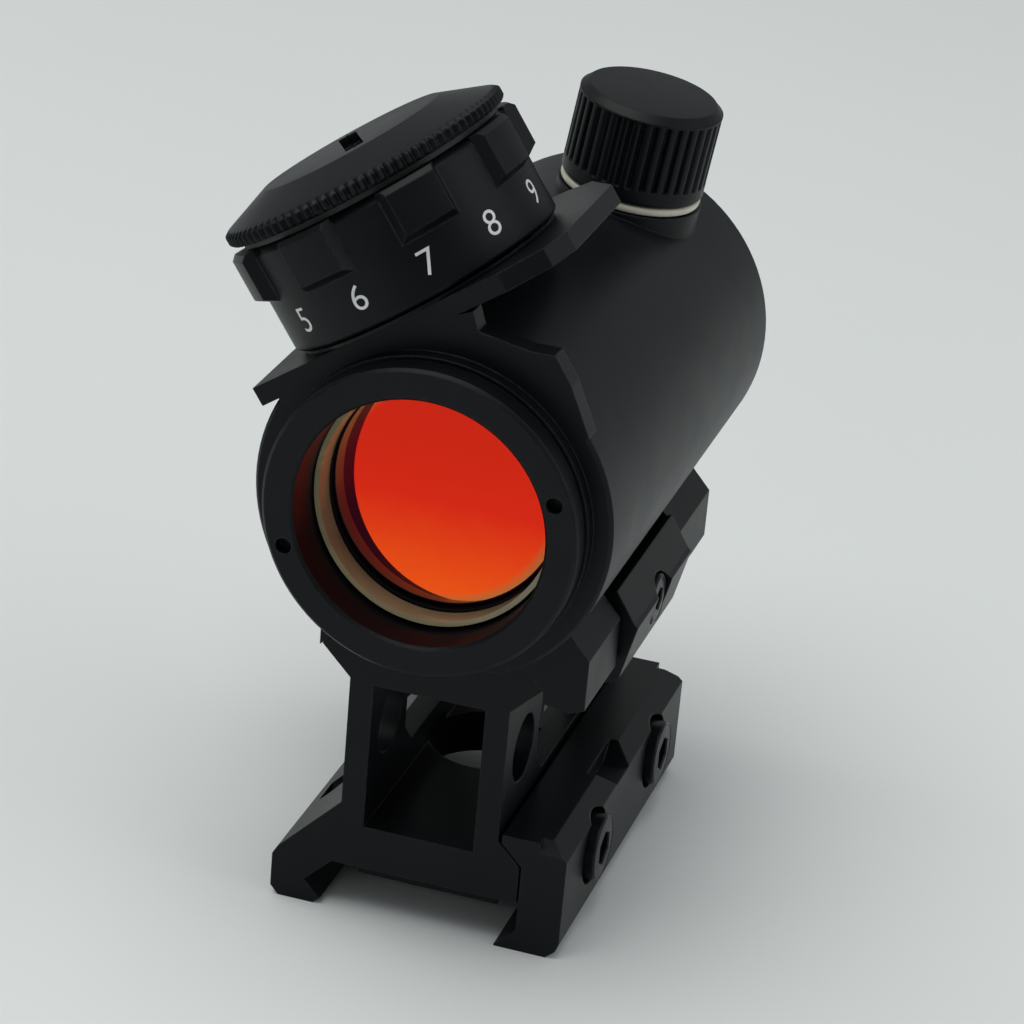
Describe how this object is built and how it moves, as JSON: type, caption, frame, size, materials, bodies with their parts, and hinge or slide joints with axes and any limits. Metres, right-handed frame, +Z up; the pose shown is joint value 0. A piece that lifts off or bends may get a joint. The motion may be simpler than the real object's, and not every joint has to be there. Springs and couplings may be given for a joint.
{
  "type": "red dot sight",
  "caption": "Compact tube red dot sight with a leaning numbered brightness dial, capped adjusters and a red-coated objective, clamped on a skeletonised riser that grips a cross-slot rail.",
  "frame": {"origin": "centre of the riser's flat underside seat, where it rests on the rail", "axes": "+Z up through the riser to the tube, +Y along the optical axis from the objective to the eye end, +X to the side of the clamp bar"},
  "size_m": [0.0442, 0.0595, 0.0792],
  "materials": {
    "anodised_black": "bead-blasted, hard black anodised, satin",
    "anodised_bar": "black anodised, slightly brighter milled faces",
    "black_steel": "black oxide on steel",
    "plain_steel": "plain steel",
    "brass": "turned brass",
    "cream_ring": "cream, glossy",
    "cream_seal": "cream sealing ring, satin",
    "black_seal": "black rubber",
    "red_lens": "red-orange dichroic coating",
    "clear_lens": "clear, coated",
    "board": "green circuit board",
    "tray_plastic": "black moulded plastic",
    "coin_steel": "bright nickel",
    "led_red": "red emitter"
  },
  "bodies": {
    "sight": {"riser_frame": "anodised_black", "sight_housing": "anodised_black", "front_bezel": "anodised_black", "lens_spacer_ring": "cream_ring", "bias_spring": "plain_steel", "rear_window_seal": "black_seal", "rear_window": "clear_lens", "rear_retaining_ring": "anodised_black", "dial_washer": "black_steel", "dial_post": "anodised_black", "post_screws": "plain_steel", "dial_clip": "plain_steel", "switch_board": "board", "detent_spring": "plain_steel", "elevation_clip": "plain_steel", "windage_clip": "plain_steel"},
    "clamp_bar": {"rail_clamp_bar": "anodised_bar"},
    "bolt_front": {"rail_bolt_front": "black_steel"},
    "bolt_rear": {"rail_bolt_rear": "black_steel"},
    "base_clamp": {"base_clamp_plate": "anodised_bar"},
    "base_screw": {"base_clamp_screw": "black_steel"},
    "dial": {"dial_drum": "anodised_black", "contact_wiper": "brass", "battery_tray": "tray_plastic", "battery_contact": "plain_steel", "coin_cell": "coin_steel"},
    "gasket": {"cap_gasket": "black_seal"},
    "battery_lid": {"battery_cap": "anodised_black", "cap_contact": "plain_steel"},
    "elevation_ring": {"elevation_seal": "cream_seal"},
    "elevation_cover": {"elevation_cap": "anodised_black"},
    "elevation_dial": {"elevation_knob": "brass"},
    "elevation_plunger": {"elevation_pin": "brass"},
    "windage_ring": {"windage_seal": "cream_seal"},
    "windage_cover": {"windage_cap": "anodised_black"},
    "windage_dial": {"windage_knob": "brass"},
    "windage_plunger": {"windage_pin": "brass"},
    "tilt_ring": {"pivot_ring": "brass"},
    "optical_cell": {"inner_tube": "anodised_black", "objective_lens": "red_lens", "lens_retainer": "anodised_black", "emitter_bracket": "tray_plastic", "led_emitter": "led_red"},
    "detent": {"detent_ball": "plain_steel"}
  },
  "joints": [
    {"name": "clamp_bar_slide", "type": "slide", "parent": "sight", "child": "clamp_bar", "axis": [1, 0, 0], "range_m": [0, 0.003]},
    {"name": "bolt_front_turn", "type": "hinge", "parent": "clamp_bar", "child": "bolt_front", "pos_m": [0.0154, -0.0104, 0.00215], "axis": [1, 0, 0], "range_deg": [0, 1545]},
    {"name": "bolt_rear_turn", "type": "hinge", "parent": "clamp_bar", "child": "bolt_rear", "pos_m": [0.0154, 0.0104, 0.00215], "axis": [1, 0, 0], "range_deg": [0, 1545]},
    {"name": "base_clamp_slide", "type": "slide", "parent": "sight", "child": "base_clamp", "axis": [1, 0, 0], "range_m": [0, 0.003]},
    {"name": "base_screw_turn", "type": "hinge", "parent": "base_clamp", "child": "base_screw", "pos_m": [0.0157, 0, 0.02395], "axis": [1, 0, 0], "range_deg": [0, 2165]},
    {"name": "dial_turn", "type": "hinge", "parent": "sight", "child": "dial", "pos_m": [0.0041, -0.0131, 0.04266], "axis": [-0.5721, 0, 0.8202], "range_deg": [-120, 210]},
    {"name": "gasket_lift", "type": "slide", "parent": "dial", "child": "gasket", "axis": [-0.5721, 0, 0.8202], "range_m": [0, 0.002]},
    {"name": "battery_lid_turn", "type": "hinge", "parent": "gasket", "child": "battery_lid", "pos_m": [0.0041, -0.0131, 0.04266], "axis": [-0.5721, 0, 0.8202], "range_deg": [0, 965]},
    {"name": "elevation_ring_lift", "type": "slide", "parent": "sight", "child": "elevation_ring", "axis": [0.1416, 0, 0.9899], "range_m": [0, 0.003]},
    {"name": "elevation_cover_turn", "type": "hinge", "parent": "elevation_ring", "child": "elevation_cover", "pos_m": [0.00124, 0.02065, 0.03962], "axis": [0.1416, 0, 0.9899], "range_deg": [0, 1445]},
    {"name": "elevation_dial_turn", "type": "hinge", "parent": "sight", "child": "elevation_dial", "pos_m": [0.00124, 0.02065, 0.03962], "axis": [0.1416, 0, 0.9899], "range_deg": [-380, 380]},
    {"name": "elevation_plunger_slide", "type": "slide", "parent": "sight", "child": "elevation_plunger", "axis": [0.1416, 0, 0.9899], "range_m": [-0.00054, 0.00054]},
    {"name": "windage_ring_lift", "type": "slide", "parent": "sight", "child": "windage_ring", "axis": [-0.9899, 0, 0.1416], "range_m": [0, 0.003]},
    {"name": "windage_cover_turn", "type": "hinge", "parent": "windage_ring", "child": "windage_cover", "pos_m": [0, 0.02065, 0.0398], "axis": [-0.9899, 0, 0.1416], "range_deg": [0, 1445]},
    {"name": "windage_dial_turn", "type": "hinge", "parent": "sight", "child": "windage_dial", "pos_m": [0, 0.02065, 0.0398], "axis": [-0.9899, 0, 0.1416], "range_deg": [-380, 380]},
    {"name": "windage_plunger_slide", "type": "slide", "parent": "sight", "child": "windage_plunger", "axis": [-0.9899, 0, 0.1416], "range_m": [-0.00054, 0.00054]},
    {"name": "cell_traverse", "type": "hinge", "parent": "sight", "child": "tilt_ring", "pos_m": [0, -0.0181, 0.0398], "axis": [0.1416, 0, 0.9899], "range_deg": [-0.77, 0.77]},
    {"name": "cell_elevation", "type": "hinge", "parent": "tilt_ring", "child": "optical_cell", "pos_m": [0, -0.0181, 0.0398], "axis": [0.9899, 0, -0.1416], "range_deg": [-0.77, 0.77]},
    {"name": "detent_slide", "type": "slide", "parent": "sight", "child": "detent", "axis": [-0.5721, 0, 0.8202], "range_m": [-0.0004, 0], "stiffness_N_per_m": 20}
  ],
  "couplings": [
    {"joint": "bolt_front_turn", "follows": "clamp_bar_slide", "rad_per_m": 8976},
    {"joint": "bolt_rear_turn", "follows": "clamp_bar_slide", "rad_per_m": 8976},
    {"joint": "base_screw_turn", "follows": "base_clamp_slide", "rad_per_m": 12566},
    {"joint": "battery_lid_turn", "follows": "gasket_lift", "rad_per_m": 8377.6},
    {"joint": "elevation_cover_turn", "follows": "elevation_ring_lift", "rad_per_m": 8377.6},
    {"joint": "elevation_dial_turn", "follows": "cell_elevation", "ratio": -486.95},
    {"joint": "elevation_plunger_slide", "follows": "cell_elevation", "m_per_rad": 0.03875},
    {"joint": "windage_cover_turn", "follows": "windage_ring_lift", "rad_per_m": 8377.6},
    {"joint": "windage_dial_turn", "follows": "cell_traverse", "ratio": -486.95},
    {"joint": "windage_plunger_slide", "follows": "cell_traverse", "m_per_rad": 0.03875}
  ]
}
